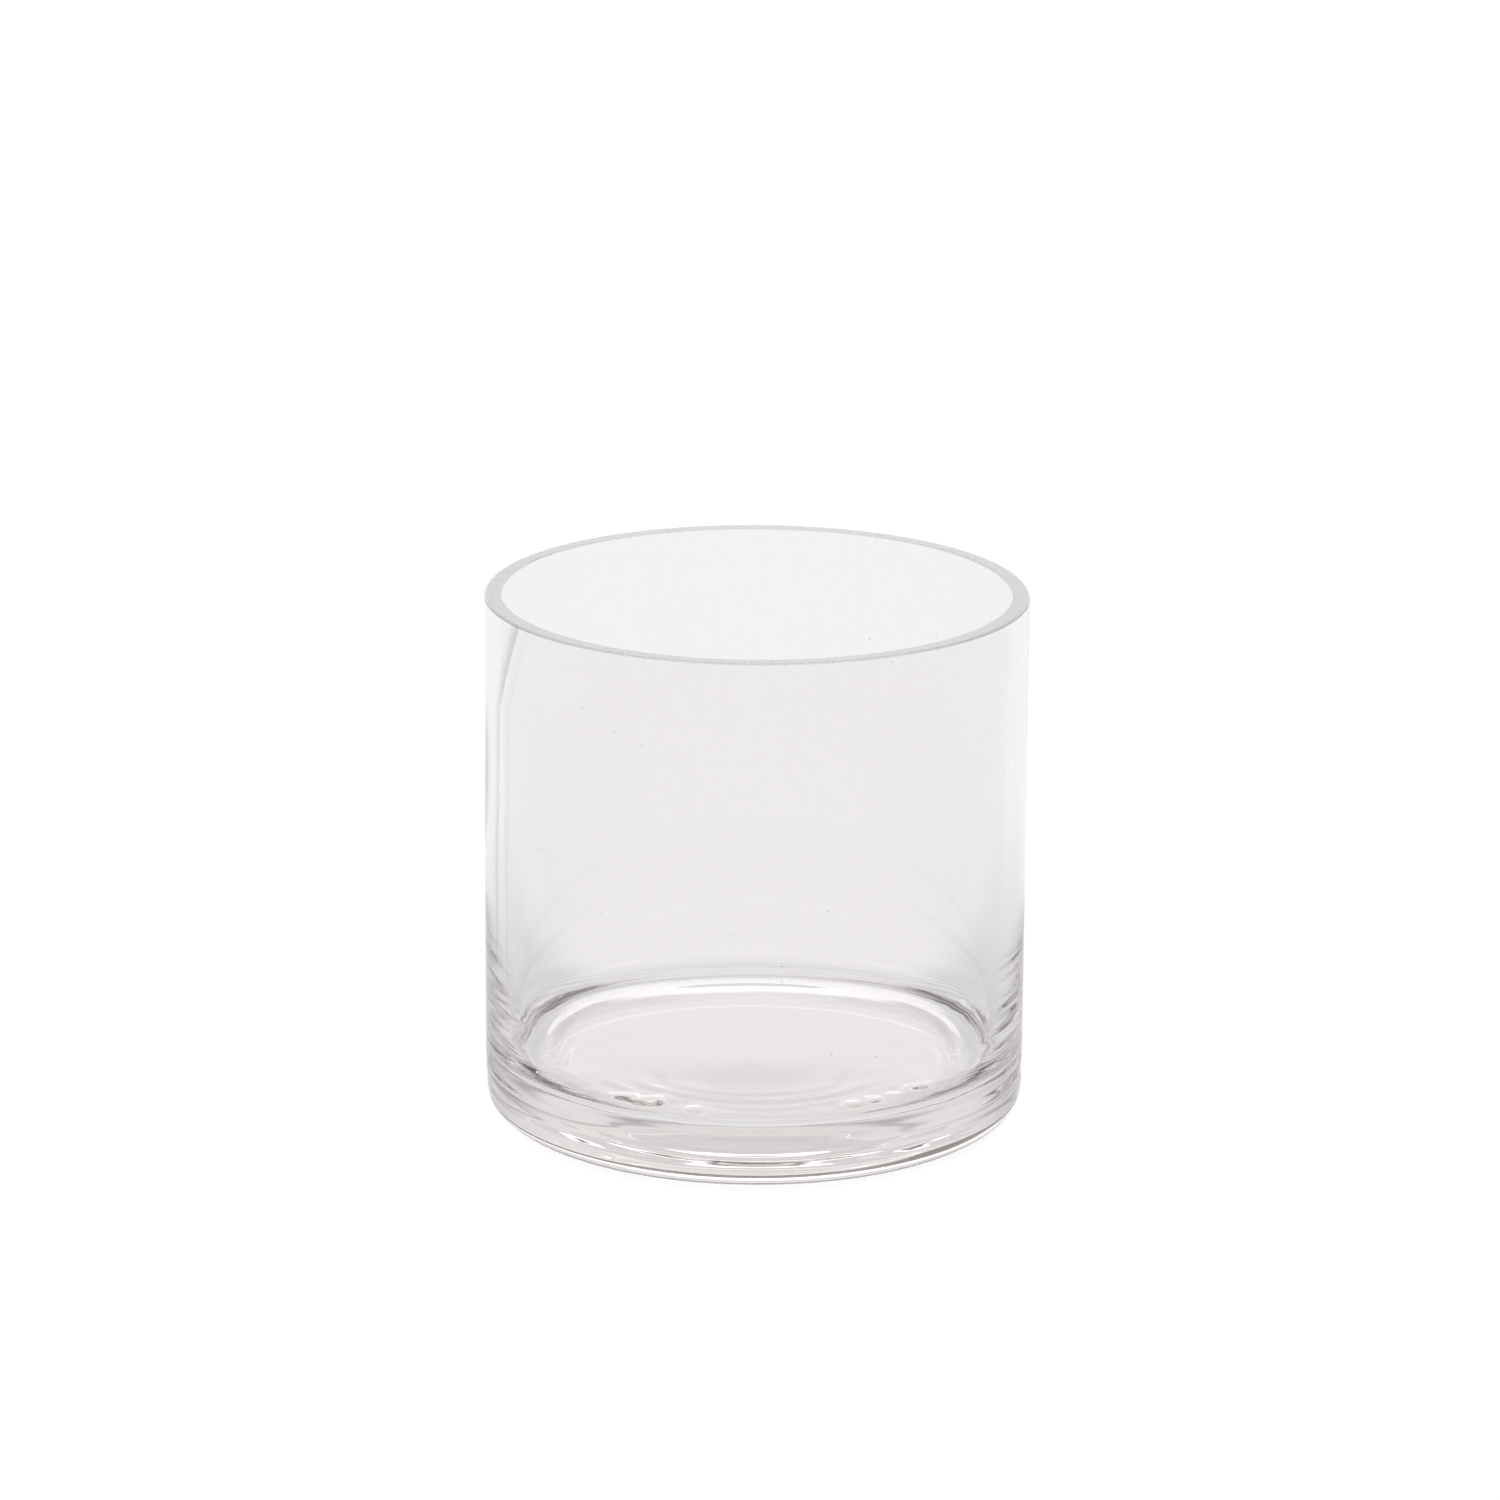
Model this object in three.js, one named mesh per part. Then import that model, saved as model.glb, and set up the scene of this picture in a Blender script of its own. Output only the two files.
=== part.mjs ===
// Glass cylinder vase: one blown piece of clear glass, open at the top, with a thick base.
// Units are millimetres. The vase stands on Z = 0 and its axis is +Z.
import * as THREE from "three";

// Driving dimensions.
const OUTER_DIAMETER = 150;
const HEIGHT = 148;
const WALL_THICKNESS = 5;
const BASE_THICKNESS = 16; // at the edge of the floor
const FLOOR_CROWN = 1.5; // how much higher the middle of the floor is than its edge
const FLOOR_FILLET_RADIUS = 6.5; // round from the inside wall to the floor
const HEEL_RADIUS = 8.2; // round from the outside wall to the underside
const UNDERSIDE_HOLLOW_DEPTH = 0.6; // shallow hollow in the middle of the underside
const UNDERSIDE_HOLLOW_RADIUS = 35;
const RIM_BEVEL = 0.5; // ground bevel on both edges of the flat rim

// How finely the round stretches are faceted. A multiple of four keeps the full diameter along X and Y.
const SEGMENTS_AROUND = 80;
const HEEL_STEPS = 6;
const FILLET_STEPS = 6;
const DOME_STEPS = 4;

const OUTER_RADIUS = OUTER_DIAMETER / 2;
const INNER_RADIUS = OUTER_RADIUS - WALL_THICKNESS;
const FLOOR_RADIUS = INNER_RADIUS - FLOOR_FILLET_RADIUS;

// Points along an arc about a centre, from one angle to another in degrees.
function arcPoints(centreR, centreZ, radius, fromDegrees, toDegrees, steps) {
  const points = [];
  for (let i = 0; i <= steps; i++) {
    const degrees = fromDegrees + ((toDegrees - fromDegrees) * i) / steps;
    const angle = THREE.MathUtils.degToRad(degrees);
    const r = centreR + radius * Math.cos(angle);
    const z = centreZ + radius * Math.sin(angle);
    points.push(new THREE.Vector2(r, z));
  }
  return points;
}

// Points of a shallow parabolic dome from its middle, on the axis, out to its edge.
function domePoints(edgeRadius, edgeZ, rise, steps) {
  const points = [];
  for (let i = 0; i <= steps; i++) {
    const share = i / steps;
    points.push(new THREE.Vector2(edgeRadius * share, edgeZ + rise * (1 - share * share)));
  }
  return points;
}

// Half section of the glass, from the middle of the underside round to the middle of the floor.
function vaseProfile() {
  const heelCentreR = OUTER_RADIUS - HEEL_RADIUS;
  const filletCentreZ = BASE_THICKNESS + FLOOR_FILLET_RADIUS;
  const floor = domePoints(FLOOR_RADIUS, BASE_THICKNESS, FLOOR_CROWN, DOME_STEPS);
  return [
    ...domePoints(UNDERSIDE_HOLLOW_RADIUS, 0, UNDERSIDE_HOLLOW_DEPTH, DOME_STEPS),
    ...arcPoints(heelCentreR, HEEL_RADIUS, HEEL_RADIUS, -90, 0, HEEL_STEPS),
    new THREE.Vector2(OUTER_RADIUS, HEIGHT - RIM_BEVEL),
    new THREE.Vector2(OUTER_RADIUS - RIM_BEVEL, HEIGHT),
    new THREE.Vector2(INNER_RADIUS + RIM_BEVEL, HEIGHT),
    new THREE.Vector2(INNER_RADIUS, HEIGHT - RIM_BEVEL),
    ...arcPoints(FLOOR_RADIUS, filletCentreZ, FLOOR_FILLET_RADIUS, 0, -90, FILLET_STEPS),
    ...floor.reverse().slice(1),
  ];
}

// The lathe turns its profile about Y, so the solid is tipped up to stand on +Z.
function makeVase() {
  const geometry = new THREE.LatheGeometry(vaseProfile(), SEGMENTS_AROUND);
  geometry.rotateX(Math.PI / 2);
  const glass = new THREE.MeshStandardMaterial({
    name: "clear_glass",
    color: 0xf3f3f1,
    roughness: 0.03,
    metalness: 0,
    transparent: true,
    opacity: 0.35,
  });
  const vase = new THREE.Mesh(geometry, glass);
  vase.name = "vase";
  return vase;
}

const part = new THREE.Group();
part.add(makeVase());

export default part;
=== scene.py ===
"""Looks of the glass cylinder vase: one piece of clear blown glass on a plain pale floor.

Everything is in metres, in the frame of the CAD model. Azimuths are in degrees round the axis: 0 is
the front (-Y), 90 is +X and -90 is -X. Lengths written with MM are in millimetres.
"""
import math

import bmesh
import bpy
from mathutils import Matrix, Vector, noise


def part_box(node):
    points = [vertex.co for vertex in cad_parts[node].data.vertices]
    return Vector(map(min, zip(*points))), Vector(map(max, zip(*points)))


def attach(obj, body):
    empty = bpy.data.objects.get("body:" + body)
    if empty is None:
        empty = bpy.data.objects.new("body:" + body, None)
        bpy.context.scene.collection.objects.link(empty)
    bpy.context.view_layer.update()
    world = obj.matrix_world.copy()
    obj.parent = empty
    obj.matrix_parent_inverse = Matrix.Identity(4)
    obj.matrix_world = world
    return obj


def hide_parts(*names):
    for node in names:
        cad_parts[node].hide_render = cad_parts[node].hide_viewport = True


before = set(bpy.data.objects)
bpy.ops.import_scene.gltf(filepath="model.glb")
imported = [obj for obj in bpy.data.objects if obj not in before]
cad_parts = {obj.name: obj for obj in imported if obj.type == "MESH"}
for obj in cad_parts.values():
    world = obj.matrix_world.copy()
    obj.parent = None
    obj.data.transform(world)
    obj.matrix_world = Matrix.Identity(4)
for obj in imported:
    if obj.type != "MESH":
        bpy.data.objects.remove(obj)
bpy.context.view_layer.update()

MM = 0.001
VASE_LOW, VASE_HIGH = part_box("vase")
OUTER_RADIUS = (VASE_HIGH.x - VASE_LOW.x) / 2
HEIGHT = VASE_HIGH.z - VASE_LOW.z

# Section of the glass.
WALL = 5.1 * MM
INNER_RADIUS = OUTER_RADIUS - WALL
THICKENING = 1.13 * MM  # how much thicker the wall is at its foot
THICKENING_HEIGHT = 32.8 * MM
BASE = 15.77 * MM
FLOOR_CROWN = 1.02 * MM
FILLET_WIDTH = 6.43 * MM
FILLET_HEIGHT = 14.04 * MM
FILLET_POWER = 2.36
HEEL_WIDTH = 8.53 * MM
HEEL_HEIGHT = 8.4 * MM
HEEL_POWER = 2.09
HOLLOW_DEPTH = 0.56 * MM
HOLLOW_RADIUS = 50 * MM
HOLLOW_POWER = 1.6
RIM_BEVEL_WIDTH = 1.1 * MM
RIM_BEVEL_HEIGHT = 0.5 * MM
RIM_INNER_ROUND = 0.35 * MM

# The low bead round the edge of the floor. It swells into uneven humps at the front left and right.
BEAD_HEIGHT = 0.38 * MM
BEAD_RADIUS = 63.22 * MM
BEAD_WIDTH = 3.16 * MM
HUMPS = ((-27, 17), (35, 21))  # azimuth and spread of each, in degrees
HUMP_GRAIN = 6.5  # degrees
HUMP_INSET = (4.5, 5.0)  # millimetres inwards: the even part and the uneven part
HUMP_SWELL = (2.6, 3.2)  # growth in height: the even part and the uneven part
HUMP_WIDENING = 0.5

# A second bead inside the first, at the two sides of the floor only.
SIDE_BEAD_HEIGHT = 0.65 * MM
SIDE_BEAD_RADIUS = 57.6 * MM
SIDE_BEAD_WIDTH = 1.7 * MM
SIDE_BEAD_AZIMUTH = 88
SIDE_BEAD_SPREAD = 30

# Unevenness of the blown glass. Depths are in millimetres. Each fade is a pair of places: where the
# unevenness is nothing, and where it is full.
OUTER_WAVE_SIZE = 70 * MM
OUTER_WAVE_DEPTH = 0.10
FLAT_DEPTH = 0.35  # a flattened patch high on the left side
FLAT_AZIMUTH = -90
FLAT_SPREAD = 40
FLAT_LEVEL = 122 * MM
FLAT_RISE = 24 * MM
INNER_WAVE_SIZE = 55 * MM
INNER_WAVE_DEPTH = 0.10
FOOT_WAVE_LENGTH = 90 * MM
FOOT_WAVE_PITCH = 1.7 * MM
FOOT_WAVE_DEPTH = 0.05
FOOT_FADE_LOW = (10.5 * MM, 13 * MM)
FOOT_FADE_HIGH = (26 * MM, 19 * MM)
HEEL_WAVE_LENGTH = 60 * MM
HEEL_WAVE_PITCH = 2.6 * MM
HEEL_WAVE_DEPTH = 0.45
HEEL_FADE_ROUND = (14, 45)
HEEL_FADE_HIGH = (17 * MM, 12 * MM)
UNDER_WAVE_PITCH = 8.2 * MM
UNDER_WAVE_DEPTH = 0.065
UNDER_FADE_MIDDLE = (18 * MM, 34 * MM)
UNDER_FADE_EDGE = (66 * MM, 61 * MM)
UNDER_FADE_BACK = (8 * MM, -12 * MM)
UNDER_STRAY_SIZE = 34 * MM
UNDER_STRAY = 2.2  # radians out of step
SIDE_WAVE_LENGTH = 45 * MM
SIDE_WAVE_PITCH = 2.0 * MM
SIDE_WAVE_DEPTH = 0.09
SIDE_FADE_LOW = (14 * MM, 24 * MM)
SIDE_FADE_HIGH = (60 * MM, 38 * MM)
SIDE_WAVE_AZIMUTH = 76
SIDE_WAVE_SPREAD = 22
FLOOR_SWELL_SIZE = 26 * MM
FLOOR_SWELL_DEPTH = 0.04
FLOOR_GRAIN_SIZE = 9 * MM
FLOOR_GRAIN_DEPTH = 0.012
FLOOR_GRAIN_FRONT = 0.06  # added at the front
FLOOR_FADE_MIDDLE = (30 * MM, 50 * MM)
FLOOR_FADE_BACK = (10 * MM, -30 * MM)

# Mesh density.
SEGMENTS = 360
HOLLOW_RINGS = 32
UNDERSIDE_RINGS = 14
HEEL_RINGS = 24
FOOT_TOP = 27 * MM
FOOT_RINGS = 36
WALL_RINGS = 12
BEVEL_RINGS = 7
RIM_RINGS = 4
RIM_ROUND_RINGS = 5
THICK_RINGS = 44
FILLET_RINGS = 34
FLOOR_RINGS = 36
FLOOR_CROWDING = 0.8  # under 1 puts the floor's rings closer together at its edge
GUARD = 0.15 * MM
AXIS_RADIUS = 1e-9  # a ring smaller than this is the point on the axis


# ---------------------------------------------------------------- section

def stretch(start, end, rings):
    """Points of a straight stretch after start, with a guard ring close to each end.

    The guard rings keep the smooth shading of the rounds from leaking into the flat glass.
    """
    length = math.dist(start, end)
    guard = GUARD / length
    shares = [guard]
    shares += [guard + (1 - 2 * guard) * k / rings for k in range(1, rings)]
    shares += [1 - guard, 1]
    return [
        (start[0] + (end[0] - start[0]) * t, start[1] + (end[1] - start[1]) * t)
        for t in shares
    ]


def round_corner(centre, width, height, start, end, steps, power=2.0):
    """Points after the first of a superelliptic round, between two angles in degrees."""
    points = []
    for k in range(1, steps + 1):
        angle = math.radians(start + (end - start) * k / steps)
        c, s = math.cos(angle), math.sin(angle)
        r = centre[0] + width * math.copysign(abs(c) ** (2 / power), c)
        z = centre[1] + height * math.copysign(abs(s) ** (2 / power), s)
        points.append((r, z))
    return points


def hollow_section():
    """From the middle of the underside out to the edge of its shallow hollow."""
    points = []
    for k in range(HOLLOW_RINGS + 1):
        share = k / HOLLOW_RINGS
        rise = ((1 + math.cos(math.pi * share)) / 2) ** HOLLOW_POWER
        points.append((HOLLOW_RADIUS * share, HOLLOW_DEPTH * rise))
    return points


def outer_section():
    """From the middle of the underside, round the heel, up to the top of the outside wall."""
    heel_start = (OUTER_RADIUS - HEEL_WIDTH, 0.0)
    heel_centre = (OUTER_RADIUS - HEEL_WIDTH, HEEL_HEIGHT)
    foot_top = (OUTER_RADIUS, FOOT_TOP)
    wall_top = (OUTER_RADIUS, HEIGHT - RIM_BEVEL_HEIGHT)
    points = hollow_section()
    points += stretch(points[-1], heel_start, UNDERSIDE_RINGS)
    points += round_corner(heel_centre, HEEL_WIDTH, HEEL_HEIGHT, -90, 0, HEEL_RINGS, HEEL_POWER)
    points += stretch(points[-1], foot_top, FOOT_RINGS)
    points += stretch(foot_top, wall_top, WALL_RINGS)
    return points


def rim_section():
    """Over the flat ground rim: a bevel outside, the flat, and a small round inside."""
    outer_centre = (OUTER_RADIUS - RIM_BEVEL_WIDTH, HEIGHT - RIM_BEVEL_HEIGHT)
    inner_centre = (INNER_RADIUS + RIM_INNER_ROUND, HEIGHT - RIM_INNER_ROUND)
    points = round_corner(outer_centre, RIM_BEVEL_WIDTH, RIM_BEVEL_HEIGHT, 0, 90, BEVEL_RINGS)
    points += stretch(points[-1], (inner_centre[0], HEIGHT), RIM_RINGS)
    points += round_corner(
        inner_centre, RIM_INNER_ROUND, RIM_INNER_ROUND, 90, 180, RIM_ROUND_RINGS
    )
    return points


def inner_section():
    """Down the inside wall, which thickens towards the base, and over the crowned floor."""
    fillet_top = BASE + FILLET_HEIGHT
    thick_top = fillet_top + THICKENING_HEIGHT
    rim_foot = (INNER_RADIUS, HEIGHT - RIM_INNER_ROUND)
    points = stretch(rim_foot, (INNER_RADIUS, thick_top), WALL_RINGS)
    for k in range(1, THICK_RINGS + 1):
        drop = k / THICK_RINGS
        points.append(
            (INNER_RADIUS - THICKENING * drop ** 2, thick_top - THICKENING_HEIGHT * drop)
        )
    centre = (INNER_RADIUS - THICKENING - FILLET_WIDTH, fillet_top)
    points += round_corner(
        centre, FILLET_WIDTH, -FILLET_HEIGHT, 0, 90, FILLET_RINGS, FILLET_POWER
    )
    floor_radius = points[-1][0]
    for k in range(1, FLOOR_RINGS + 1):
        share = (1 - k / FLOOR_RINGS) ** FLOOR_CROWDING
        points.append((floor_radius * share, BASE + FLOOR_CROWN * (1 - share ** 2)))
    return points


# ---------------------------------------------------------------- unevenness of the blown glass

def smooth(low, high, value):
    """0 up to low, 1 from high on, and smooth between them; low may be the larger."""
    t = min(1.0, max(0.0, (value - low) / (high - low)))
    return t * t * (3 - 2 * t)


def bump(value, middle, width):
    """A bell of height 1."""
    return math.exp(-(((value - middle) / width) ** 2))


def wave(azimuth, z, size, seed):
    """Smooth noise in -1..1 over a cylinder, with features about size across."""
    angle = math.radians(azimuth)
    point = Vector((math.sin(angle) * OUTER_RADIUS, -math.cos(angle) * OUTER_RADIUS, z))
    return noise.noise(point / size + Vector((seed, 2.3 * seed, 5.1 * seed)))


def level_waves(azimuth, z, length, pitch, seed):
    """Noise in -1..1 with long level crests: length along them, about two pitches between them."""
    angle = math.radians(azimuth)
    point = Vector((math.sin(angle), -math.cos(angle), 0)) * OUTER_RADIUS / length
    point.z = z / pitch
    return noise.noise(point + Vector((seed, 2.7 * seed, 0.6 * seed)))


def outer_shift(azimuth, z):
    """How far the outside wall lies from its full radius; it is never outside it."""
    slow = OUTER_WAVE_DEPTH * (1 + wave(azimuth, z, OUTER_WAVE_SIZE, 1.7))
    flat = FLAT_DEPTH * bump(azimuth, FLAT_AZIMUTH, FLAT_SPREAD) * bump(z, FLAT_LEVEL, FLAT_RISE)
    return -(slow + flat + foot_waves(azimuth, z) + heel_waves(azimuth, z)) * MM


def foot_waves(azimuth, z):
    """Fine level waves round the foot, where the hot glass chilled against the mould."""
    share = smooth(*FOOT_FADE_LOW, z) * smooth(*FOOT_FADE_HIGH, z)
    waves = level_waves(azimuth, z, FOOT_WAVE_LENGTH, FOOT_WAVE_PITCH, 3.3)
    return FOOT_WAVE_DEPTH * share * (1 + waves) / 2


def heel_waves(azimuth, z):
    """Deeper folds round the back and sides of the heel."""
    share = smooth(*HEEL_FADE_ROUND, abs(azimuth)) * smooth(*HEEL_FADE_HIGH, z)
    folds = level_waves(azimuth, z, HEEL_WAVE_LENGTH, HEEL_WAVE_PITCH, 8.1)
    return HEEL_WAVE_DEPTH * share * (1 + folds) / 2


def inner_shift(azimuth, z):
    """Radial unevenness of the inside wall, with level waves low on both sides."""
    slow = INNER_WAVE_DEPTH * wave(azimuth, z * 0.5, INNER_WAVE_SIZE, 3.1)
    share = smooth(*SIDE_FADE_HIGH, z) * smooth(*SIDE_FADE_LOW, z)
    share *= bump(abs(azimuth), SIDE_WAVE_AZIMUTH, SIDE_WAVE_SPREAD)
    waves = level_waves(azimuth, z, SIDE_WAVE_LENGTH, SIDE_WAVE_PITCH, 5.9)
    return (slow + SIDE_WAVE_DEPTH * share * waves) * MM


def bead_rise(azimuth, radius):
    """Height of the floor's beads."""
    hump = sum(bump(azimuth, middle, spread) for middle, spread in HUMPS)
    uneven = noise.noise(Vector((azimuth / HUMP_GRAIN, 2.5, 6.1)))
    bead_radius = BEAD_RADIUS - hump * (HUMP_INSET[0] + HUMP_INSET[1] * uneven) * MM
    bead_height = BEAD_HEIGHT * (1 + hump * (HUMP_SWELL[0] + HUMP_SWELL[1] * uneven))
    bead = bead_height * bump(radius, bead_radius, BEAD_WIDTH * (1 + HUMP_WIDENING * hump))
    beside = bump(abs(azimuth), SIDE_BEAD_AZIMUTH, SIDE_BEAD_SPREAD)
    return bead + SIDE_BEAD_HEIGHT * beside * bump(radius, SIDE_BEAD_RADIUS, SIDE_BEAD_WIDTH)


def floor_shift(x, y, radius):
    """Vertical unevenness of the floor, strongest towards its edge."""
    point = Vector((x, y, 0))
    bead = bead_rise(math.degrees(math.atan2(x, -y)), radius)
    swell = noise.noise(point / FLOOR_SWELL_SIZE + Vector((7.7, 0, 3)))
    grain = noise.noise(point / FLOOR_GRAIN_SIZE + Vector((1.3, 4, 9)))
    grain_depth = FLOOR_GRAIN_DEPTH + FLOOR_GRAIN_FRONT * smooth(*FLOOR_FADE_BACK, y)
    edge = smooth(*FLOOR_FADE_MIDDLE, radius)
    return bead + (FLOOR_SWELL_DEPTH * swell + grain_depth * edge * grain) * MM


def underside_shift(x, y, radius):
    """Shallow rings pressed into the front half of the underside, a little out of true."""
    share = smooth(*UNDER_FADE_MIDDLE, radius) * smooth(*UNDER_FADE_EDGE, radius)
    share *= smooth(*UNDER_FADE_BACK, y)
    stray = noise.noise(Vector((x, y, 0)) / UNDER_STRAY_SIZE)
    rings = math.sin(2 * math.pi * radius / UNDER_WAVE_PITCH + UNDER_STRAY * stray)
    return UNDER_WAVE_DEPTH * share * (1 + rings) * MM


def place(radius, z, azimuth, outside):
    """Where a point of the section goes at one azimuth, unevenness included."""
    if outside:
        radius += outer_shift(azimuth, z) * (radius / OUTER_RADIUS) ** 2
    else:
        radius += inner_shift(azimuth, z) * (radius / INNER_RADIUS) ** 2
    angle = math.radians(azimuth)
    x, y = radius * math.sin(angle), -radius * math.cos(angle)
    if outside and z < 1 * MM:
        z += underside_shift(x, y, radius)
    if not outside:
        z += floor_shift(x, y, radius) * smooth(BASE + FILLET_HEIGHT, BASE + 3 * MM, z)
    return Vector((x, y, z))


# ---------------------------------------------------------------- mesh

def full_section():
    """The whole section, with each point's share of the inside wall's unevenness."""
    section = [(r, z, 0.0) for r, z in outer_section()]
    section += [(r, z, (OUTER_RADIUS - r) / WALL) for r, z in rim_section()]
    section += [(r, z, 1.0) for r, z in inner_section()]
    return section


def make_ring(mesh, radius, z, inside_share):
    """The vertices that one point of the section makes round the axis."""
    if radius < AXIS_RADIUS:
        return [mesh.verts.new((0, 0, z))]
    ring = []
    for k in range(SEGMENTS):
        azimuth = 360 * k / SEGMENTS - 180
        point = place(radius, z, azimuth, True)
        if inside_share:
            point = point.lerp(place(radius, z, azimuth, False), inside_share)
        ring.append(mesh.verts.new(point))
    return ring


def join_rings(mesh, first, second):
    for k in range(SEGMENTS):
        n = (k + 1) % SEGMENTS
        if len(first) == 1:
            corners = (first[0], second[k], second[n])
        elif len(second) == 1:
            corners = (first[k], second[0], first[n])
        else:
            corners = (first[k], second[k], second[n], first[n])
        mesh.faces.new(corners).smooth = True


def make_object(name, mesh):
    """An object in the scene from a bmesh."""
    data = bpy.data.meshes.new(name)
    mesh.to_mesh(data)
    mesh.free()
    thing = bpy.data.objects.new(name, data)
    bpy.context.scene.collection.objects.link(thing)
    return thing


def make_vase():
    mesh = bmesh.new()
    rings = [make_ring(mesh, *point) for point in full_section()]
    for first, second in zip(rings, rings[1:]):
        join_rings(mesh, first, second)
    bmesh.ops.recalc_face_normals(mesh, faces=mesh.faces)
    vase = make_object("glass_vase", mesh)
    vase.data.materials.append(glass_material())
    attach(vase, "root")
    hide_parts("vase")


# ---------------------------------------------------------------- materials

# Clear glass. The tint acts at each surface, and the absorption along the way between them.
GLASS_TINT = (0.944, 0.934, 0.930, 1)
GLASS_IOR = 1.52
ABSORPTION_COLOUR = (0.86, 0.835, 0.83, 1)
ABSORPTION_DENSITY = 11.0

# The ground rim. Fades are heights: where the ground surface starts, and where it is full.
GROUND_WHITE = (0.98, 0.965, 0.96, 1)
GROUND_CLEAR = 0.15  # how much light the ground glass still lets through
GROUND_FADE = (HEIGHT - 0.46 * MM, HEIGHT - 0.12 * MM)
GROUND_ROUGH_FADE = (HEIGHT - 0.6 * MM, HEIGHT - 0.4 * MM)
GROUND_ROUGHNESS = (0.24, 0.32)
GROUND_GRAIN = 2600.0

# Painted shade: a grey streak, the glass colour darkened where light is caught in the wall. It
# slants in from the rim down to the knee, then runs down the wall.
SHADE_STREAK_TOP = 147 * MM
SHADE_STREAK_KNEE = 122 * MM
SHADE_STREAK_KNEE_TOP = SHADE_STREAK_KNEE + 8 * MM
SHADE_STREAK_FOOT = 30 * MM
SHADE_STREAK_FOOT_FADE = (28 * MM, 60 * MM)
SHADE_STREAK_SLANT = (-58.5, -68.5)  # azimuths of its sharp edge at the top and at the knee
SHADE_STREAK_DRIFT = (0.0, -2.5)  # degrees added by the foot
SHADE_STREAK_SWAY = 0.8  # degrees
SHADE_STREAK_SWAY_GRAIN = 70.0
SHADE_STREAK_WIDTHS = (1.6, 5.0)  # degrees, at the foot and at the top
SHADE_STREAK_SHARP_EDGE = (-0.15, 0.35)  # degrees
SHADE_STREAK_SOFT_EDGE = (1.0, 0.1)  # shares of its width
SHADE_STREAK_LOWER_STRENGTH = 0.85
SHADE_STREAK_COLOUR = (0.46, 0.45, 0.52, 1)
SHADE_STREAK_DEPTH = 2 * MM  # it colours only the glass surface this near the full radius

# Specks: one in each cell, and only those that the surface happens to cut are seen.
SPECK_SPACING = 11 * MM
SPECK_SIZES = (0.004, 0.036)  # shares of a cell
SPECK_STRENGTH = 0.75


class Nodes:
    """A short way to write node trees: each call adds one node and returns it or its result."""

    def __init__(self, tree):
        self.tree = tree

    def add(self, kind, inputs=None, **settings):
        node = self.tree.nodes.new(kind)
        for name, value in settings.items():
            setattr(node, name, value)
        for name, value in (inputs or {}).items():
            self.put(value, node.inputs[name])
        return node

    def put(self, value, socket):
        if isinstance(value, bpy.types.NodeSocket):
            self.tree.links.new(value, socket)
        else:
            socket.default_value = value

    def math(self, operation, *values):
        node = self.add("ShaderNodeMath", operation=operation)
        for value, socket in zip(values, node.inputs):
            self.put(value, socket)
        return node.outputs[0]

    def product(self, first, *others):
        for other in others:
            first = self.math("MULTIPLY", first, other)
        return first

    def ramp(self, value, low, high, to_low=0.0, to_high=1.0, kind="SMOOTHSTEP"):
        """value from low..high, mapped to to_low..to_high."""
        node = self.add("ShaderNodeMapRange", interpolation_type=kind)
        for socket, number in zip(node.inputs, (value, low, high, to_low, to_high)):
            self.put(number, socket)
        return node.outputs[0]

    def mix(self, share, first, second):
        """The colour that lies share of the way from first to second."""
        node = self.add("ShaderNodeMix", {"Factor": share}, data_type="RGBA")
        named = {socket.identifier: socket for socket in node.inputs}
        self.put(first, named["A_Color"])
        self.put(second, named["B_Color"])
        return next(socket for socket in node.outputs if socket.identifier == "Result_Color")

    def spot(self):
        return self.add("ShaderNodeTexCoord").outputs["Object"]

    def axes(self, spot):
        parts = self.add("ShaderNodeSeparateXYZ", {"Vector": spot})
        return parts.outputs["X"], parts.outputs["Y"], parts.outputs["Z"]

    def noise(self, spot, scale, detail):
        settings = {"Vector": spot, "Scale": scale, "Detail": detail}
        return self.add("ShaderNodeTexNoise", settings).outputs[0]


def new_material(name):
    material = bpy.data.materials.new(name)
    material.use_nodes = True
    return material, Nodes(material.node_tree)


def specks(nodes, spot):
    """A few tiny dark specks and seeds here and there on the surface."""
    cells = nodes.add("ShaderNodeTexVoronoi", {"Vector": spot, "Scale": 1 / SPECK_SPACING})
    chance = nodes.add("ShaderNodeSeparateColor", {0: cells.outputs["Color"]}).outputs[0]
    radius = nodes.ramp(chance, 0.0, 1.0, *SPECK_SIZES)
    inside = nodes.math("LESS_THAN", cells.outputs["Distance"], radius)
    return nodes.product(inside, SPECK_STRENGTH)


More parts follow.
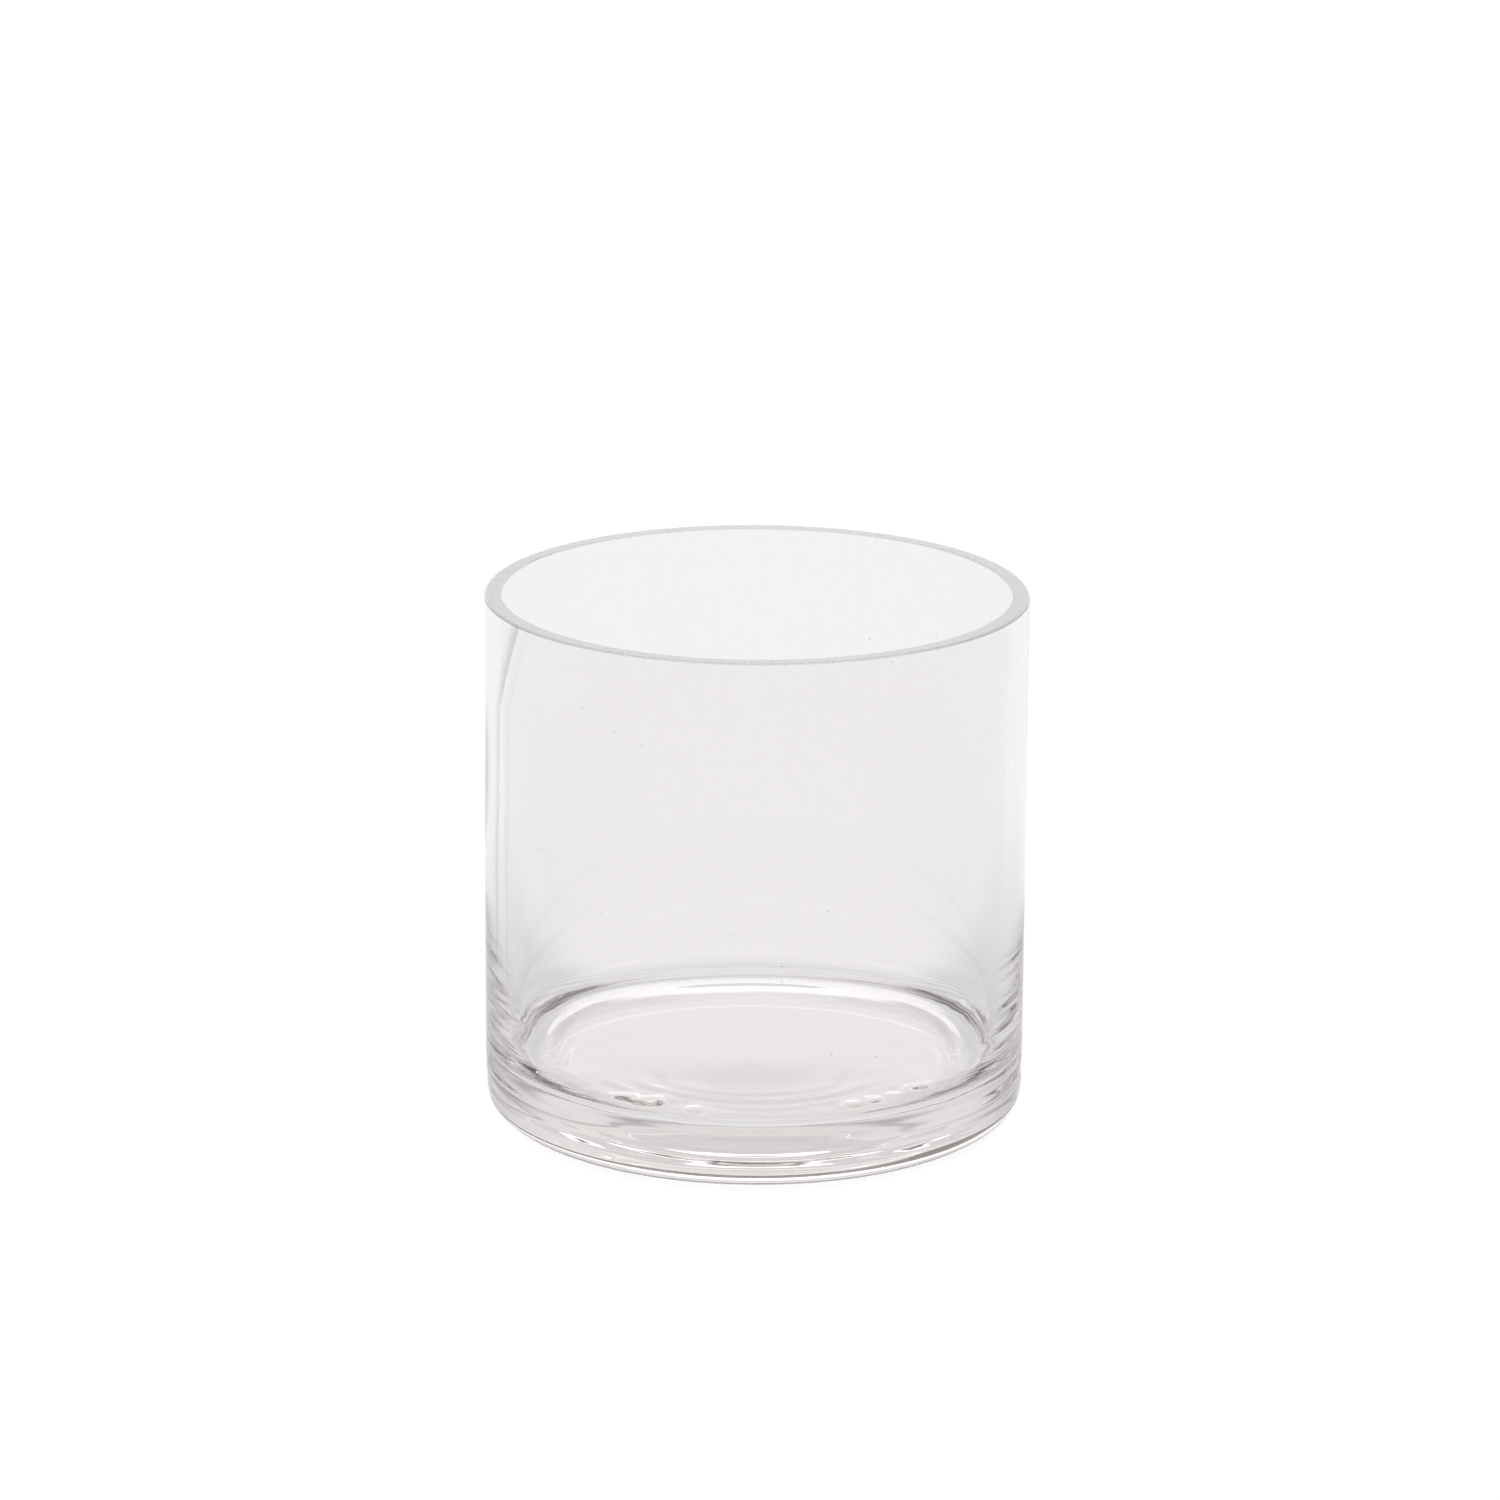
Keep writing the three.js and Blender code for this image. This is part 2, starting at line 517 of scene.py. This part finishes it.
def painted_shade_streak(nodes, spot):
    """Strength of the painted shade: a greyish streak of darker glass colour, where light is caught
    in the wall, that runs in from the rim and then down the wall.
    """
    x, y, height = nodes.axes(spot)
    azimuth = nodes.math("DEGREES", nodes.math("ARCTAN2", x, nodes.product(y, -1.0)))
    sway = nodes.noise(spot, SHADE_STREAK_SWAY_GRAIN, 2.0)
    sway = nodes.ramp(sway, 0.0, 1.0, -SHADE_STREAK_SWAY, SHADE_STREAK_SWAY, "LINEAR")
    slant = nodes.ramp(height, SHADE_STREAK_TOP, SHADE_STREAK_KNEE, *SHADE_STREAK_SLANT, "LINEAR")
    drift = nodes.ramp(height, SHADE_STREAK_KNEE, SHADE_STREAK_FOOT, *SHADE_STREAK_DRIFT, "LINEAR")
    edge = nodes.math("ADD", nodes.math("ADD", slant, drift), sway)
    inward = nodes.math("SUBTRACT", edge, azimuth)
    width = nodes.ramp(height, SHADE_STREAK_FOOT, SHADE_STREAK_TOP, *SHADE_STREAK_WIDTHS)
    sharp = nodes.ramp(inward, *SHADE_STREAK_SHARP_EDGE)
    soft = nodes.ramp(nodes.math("DIVIDE", inward, width), *SHADE_STREAK_SOFT_EDGE)
    strength = nodes.ramp(height, SHADE_STREAK_KNEE, SHADE_STREAK_KNEE_TOP, SHADE_STREAK_LOWER_STRENGTH, 1.0)
    ends = nodes.ramp(height, *SHADE_STREAK_FOOT_FADE)
    reach_squared = nodes.math("ADD", nodes.product(x, x), nodes.product(y, y))
    reach = nodes.math("SQRT", reach_squared)
    outside = nodes.math("GREATER_THAN", reach, OUTER_RADIUS - SHADE_STREAK_DEPTH)
    return nodes.product(sharp, soft, strength, ends, outside)


def glass_material():
    material, nodes = new_material("clear_glass")
    shader = material.node_tree.nodes["Principled BSDF"]
    output = material.node_tree.nodes["Material Output"]
    spot = nodes.spot()
    height = nodes.axes(spot)[2]
    ground = nodes.ramp(height, *GROUND_FADE)
    grit = nodes.ramp(nodes.noise(spot, GROUND_GRAIN, 3.0), 0.3, 0.7, *GROUND_ROUGHNESS)
    rough = nodes.product(nodes.ramp(height, *GROUND_ROUGH_FADE), grit)
    nodes.put(rough, shader.inputs["Roughness"])
    clear = nodes.ramp(ground, 0.0, 1.0, 1.0, GROUND_CLEAR, "LINEAR")
    nodes.put(clear, shader.inputs["Transmission Weight"])
    # Painted shade: the grey streak in the wall darkens the glass colour, together with the real
    # specks.
    specks_and_shade_streak = nodes.math("MAXIMUM", painted_shade_streak(nodes, spot), specks(nodes, spot))
    colour = nodes.mix(specks_and_shade_streak, GLASS_TINT, SHADE_STREAK_COLOUR)
    colour = nodes.mix(ground, colour, GROUND_WHITE)
    nodes.put(colour, shader.inputs["Base Color"])
    shader.inputs["IOR"].default_value = GLASS_IOR
    volume = nodes.add("ShaderNodeVolumeAbsorption")
    volume.inputs["Color"].default_value = ABSORPTION_COLOUR
    volume.inputs["Density"].default_value = ABSORPTION_DENSITY
    nodes.put(volume.outputs["Volume"], output.inputs["Volume"])
    return material


# ---------------------------------------------------------------- stage

FLOOR_RADIUS = 30.0
FLOOR_DROP = 0.2 * MM
FLOOR_GREY = (0.50, 0.50, 0.50, 1)
FLOOR_GLOW = 0.72
FLOOR_FIBRES = 900.0
FLOOR_ROUGHNESS = (0.82, 0.95)

# The paper as the glass sees it. Distances are from the vase's axis, in metres, and turns are
# degrees from straight behind the vase.
PAPER_LIGHT = (0.97, 0.97, 0.97, 1)
# Painted shade: the colour of the shadow painted beside the vase, under its foot and in the caustic
# rings.
PAPER_SHADE = (0.47, 0.455, 0.49, 1)
PAPER_FAR_LOGS = (-0.2, 1.4)  # powers of ten of the distances between which it brightens
PAPER_FAR_GAIN = 1.2
BESIDE_BACK = (24.0, 38.0)
BESIDE_FRONT = (125.0, 95.0)
SIDE_SHADE = 0.35
SIDE_SHADE_FAR = (0.38, 0.16)
SIDE_SHADE_NEAR = (0.076, 0.12)
CONTACT_SHADE = 0.34
CONTACT_INNER = (0.050, 0.070)
CONTACT_OUTER = (0.085, 0.075)
RING_PITCHES = (5.2 * MM, 1.7 * MM)
RING_SHARES = (0.6, 0.4)
RING_WOBBLE = 4.0  # radians
RING_WOBBLE_GRAIN = 18.0
RING_SHADE = 0.3
RING_FAR = (0.110, 0.098)
RING_NEAR = (0.074, 0.077)
RING_SIDE_SHADE = 0.7
RING_SIDE_FAR = (0.17, 0.10)


def floor_material():
    material, nodes = new_material("pale_floor")
    shader = material.node_tree.nodes["Principled BSDF"]
    shader.inputs["Base Color"].default_value = FLOOR_GREY
    shader.inputs["Specular IOR Level"].default_value = 0.0
    shader.inputs["Emission Color"].default_value = (1, 1, 1, 1)
    shader.inputs["Emission Strength"].default_value = FLOOR_GLOW
    fibre = nodes.noise(nodes.spot(), FLOOR_FIBRES, 3.0)
    nodes.put(nodes.ramp(fibre, 0.3, 0.7, *FLOOR_ROUGHNESS), shader.inputs["Roughness"])
    relief = {"Height": fibre, "Strength": 0.05, "Distance": 0.1 * MM}
    nodes.put(nodes.add("ShaderNodeBump", relief).outputs[0], shader.inputs["Normal"])
    return material


def make_disc(name, height, material):
    """A flat disc, as wide as the floor."""
    mesh = bmesh.new()
    bmesh.ops.create_circle(mesh, cap_ends=True, segments=96, radius=FLOOR_RADIUS)
    disc = make_object(name, mesh)
    disc.location.z = height
    disc.data.materials.append(material)
    return disc


def ring_waves(nodes, reach, wobble, pitch):
    """Rings in 0..1 round the vase, pitch apart."""
    phase = nodes.math("MULTIPLY_ADD", reach, 2 * math.pi / pitch, wobble)
    return nodes.math("MULTIPLY_ADD", nodes.math("SINE", phase), 0.5, 0.5)


def caustic_rings(nodes, spot, reach, beside):
    """Rings of light and shade round the foot, strongest beside the vase."""
    wobble = nodes.product(nodes.noise(spot, RING_WOBBLE_GRAIN, 1.0), RING_WOBBLE)
    coarse, fine = (
        nodes.product(ring_waves(nodes, reach, wobble, pitch), share)
        for pitch, share in zip(RING_PITCHES, RING_SHARES)
    )
    around = nodes.product(nodes.ramp(reach, *RING_FAR), RING_SHADE)
    flanks = nodes.product(beside, nodes.ramp(reach, *RING_SIDE_FAR, 0.0, RING_SIDE_SHADE))
    strength = nodes.math("MAXIMUM", around, flanks)
    strength = nodes.product(strength, nodes.ramp(reach, *RING_NEAR))
    return nodes.product(nodes.math("ADD", coarse, fine), strength)


def shade_material():
    """The paper's brightness: shade beside the vase and under its foot, and brighter far away."""
    material, nodes = new_material("paper_shade")
    tree = material.node_tree
    tree.nodes.remove(tree.nodes["Principled BSDF"])
    spot = nodes.spot()
    x, y = nodes.axes(spot)[:2]
    reach = nodes.add("ShaderNodeVectorMath", {0: spot}, operation="LENGTH").outputs["Value"]
    turn = nodes.math("DEGREES", nodes.math("ARCTAN2", nodes.math("ABSOLUTE", x), y))
    beside = nodes.product(nodes.ramp(turn, *BESIDE_BACK), nodes.ramp(turn, *BESIDE_FRONT))
    near = nodes.product(nodes.ramp(reach, *SIDE_SHADE_FAR), nodes.ramp(reach, *SIDE_SHADE_NEAR))
    side = nodes.product(beside, near, SIDE_SHADE)
    inner, outer = nodes.ramp(reach, *CONTACT_INNER), nodes.ramp(reach, *CONTACT_OUTER)
    contact = nodes.product(inner, outer, CONTACT_SHADE)
    rings = caustic_rings(nodes, spot, reach, beside)
    # Painted shade on the sheet: beside the vase, in the caustic rings and under its foot.
    dark = nodes.math("MAXIMUM", nodes.math("MAXIMUM", side, rings), contact)
    distance = nodes.math("LOGARITHM", reach, 10.0)
    gain = nodes.ramp(distance, *PAPER_FAR_LOGS, 1.0, PAPER_FAR_GAIN, "LINEAR")
    tone = {"Color": nodes.mix(dark, PAPER_LIGHT, PAPER_SHADE), "Strength": gain}
    glow = nodes.add("ShaderNodeEmission", tone)
    nodes.put(glow.outputs[0], tree.nodes["Material Output"].inputs["Surface"])
    return material


def make_shade():
    """A thin glowing sheet over the floor, painted with the shade and caustic light round the vase,
    that only the glass sees, as a studio card is kept out of view.
    """
    shade = make_disc("paper_shade", VASE_LOW.z - FLOOR_DROP / 2, shade_material())
    shade.visible_camera = False
    shade.visible_diffuse = False
    shade.visible_shadow = False


# Strength of the surround. Rises are heights of the direction, from 0 at the horizon to 1 overhead,
# and backs are how far it points straight behind the vase, up to 1.
SKY = 1.0
HORIZON_GAIN = 0.85
HORIZON_RISE = (0.09, 0.17)
BEHIND_GAIN = 1.0
BEHIND_BACK = (0.80, 0.97)
DIM_BAND = -0.80
DIM_RISE = (0.32, 0.45)
SIDES_SHARE = 0.75
SIDES_BACK = (0.35, 0.80)
OVERHEAD = 0.95
OVERHEAD_RISE = (0.64, 0.90)


def light_studio():
    """A soft surround: brightest behind at the horizon, dim halfway up, and pale overhead."""
    world = bpy.data.worlds.new("studio")
    bpy.context.scene.world = world
    world.use_nodes = True
    nodes = Nodes(world.node_tree)
    direction = nodes.add("ShaderNodeTexCoord").outputs["Generated"]
    back, rise = nodes.axes(direction)[1:]
    low_gain = nodes.math(
        "MULTIPLY_ADD", nodes.ramp(back, *BEHIND_BACK), BEHIND_GAIN, HORIZON_GAIN
    )
    horizon = nodes.ramp(rise, *HORIZON_RISE, 1.0, 0.0)
    horizon = nodes.math("MULTIPLY_ADD", horizon, low_gain, SKY)
    band = nodes.ramp(rise, *DIM_RISE, 0.0, DIM_BAND)
    sides = nodes.ramp(back, *SIDES_BACK, SIDES_SHARE, 1.0)
    low_sky = nodes.product(nodes.math("ADD", horizon, band), sides)
    overhead = nodes.ramp(rise, *OVERHEAD_RISE, 0.0, OVERHEAD)
    background = world.node_tree.nodes["Background"]
    background.inputs["Color"].default_value = (1, 1, 1, 1)
    nodes.put(nodes.math("ADD", low_sky, overhead), background.inputs["Strength"])


# The camera. Angles are in degrees; pan and tilt are from its aim at the middle of the vase.
CAMERA_DISTANCE = 1.867
CAMERA_ELEVATION = 17.051
CAMERA_PAN = -0.0528
CAMERA_TILT = -0.8474
CAMERA_ROLL = 0.3616
CAMERA_LENS = 161.6


def make_camera():
    elevation = math.radians(CAMERA_ELEVATION)
    pan, roll = math.radians(CAMERA_PAN), math.radians(CAMERA_ROLL)
    tilt = elevation + math.radians(CAMERA_TILT)
    position = Vector((0, -CAMERA_DISTANCE * math.cos(elevation), 0))
    position.z = HEIGHT / 2 + CAMERA_DISTANCE * math.sin(elevation)
    ahead = Vector(
        (math.sin(pan) * math.cos(tilt), math.cos(pan) * math.cos(tilt), -math.sin(tilt))
    )
    right = ahead.cross(Vector((0, 0, 1))).normalized()
    right = Matrix.Rotation(-roll, 3, ahead) @ right
    up = right.cross(ahead)
    data = bpy.data.cameras.new("camera")
    data.sensor_width = 36
    data.lens = CAMERA_LENS
    data.clip_end = 100
    camera = bpy.data.objects.new("camera", data)
    axes = Matrix((right, up, -ahead)).transposed()
    camera.matrix_world = Matrix.Translation(position) @ axes.to_4x4()
    bpy.context.scene.collection.objects.link(camera)
    bpy.context.scene.camera = camera


def set_light_paths():
    """Light has to pass many glass faces here, so the path limits are high."""
    scene = bpy.context.scene
    scene.view_settings.view_transform = "Standard"
    cycles = scene.cycles
    cycles.max_bounces = 64
    cycles.transmission_bounces = 64
    cycles.glossy_bounces = 64
    cycles.blur_glossy = 0.0
    cycles.use_denoising = True


make_vase()
make_disc("studio_floor", VASE_LOW.z - FLOOR_DROP, floor_material())
make_shade()
light_studio()
make_camera()
set_light_paths()
